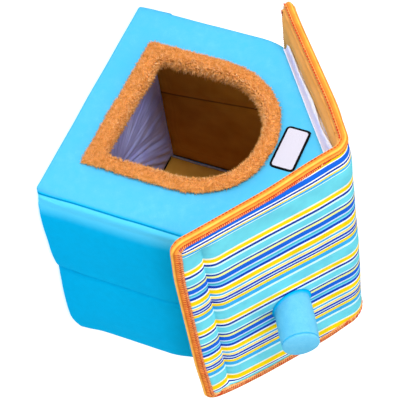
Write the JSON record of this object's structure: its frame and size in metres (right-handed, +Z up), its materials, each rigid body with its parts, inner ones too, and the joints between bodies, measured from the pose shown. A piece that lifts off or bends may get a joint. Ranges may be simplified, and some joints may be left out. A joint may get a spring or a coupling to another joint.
{
  "type": "covered pet bed",
  "caption": "Soft house-shaped covered pet bed with padded plush walls, an arched doorway with fleece trim, a quilted striped gable roof with bound edges and a plush chimney.",
  "frame": {"origin": "middle of the footprint on the floor, under the base pad", "axes": "+Z up, +X to the right seen from the front, +Y to the back; the doorway faces -Y"},
  "size_m": [0.4489, 0.4797, 0.4148],
  "materials": {
    "blue_plush": "short pile plush",
    "trim_fleece": "long pile fleece",
    "brown_lining": "matt woven cloth",
    "white_satin": "satin weave",
    "striped_canvas": "printed canvas over wadding",
    "orange_lining": "matt woven cloth",
    "orange_binding": "folded tape with slanted stitches",
    "label_cloth": "smooth blank patch"
  },
  "bodies": {
    "root": {"front_wall": "blue_plush", "back_wall": "blue_plush", "left_wall": "blue_plush", "right_wall": "blue_plush", "base_pad": "blue_plush", "floor_lining": "white_satin", "lining_left": "brown_lining", "lining_right": "brown_lining", "lining_front": "brown_lining", "lining_back": "brown_lining", "door_trim": "trim_fleece", "label_patch": "label_cloth", "gusset_front": "white_satin", "gusset_back": "white_satin", "gusset_left": "white_satin", "gusset_right": "white_satin", "roof_lining": "orange_lining", "roof_pad": "striped_canvas", "roof_binding": "orange_binding", "chimney": "blue_plush"}
  },
  "joints": []
}
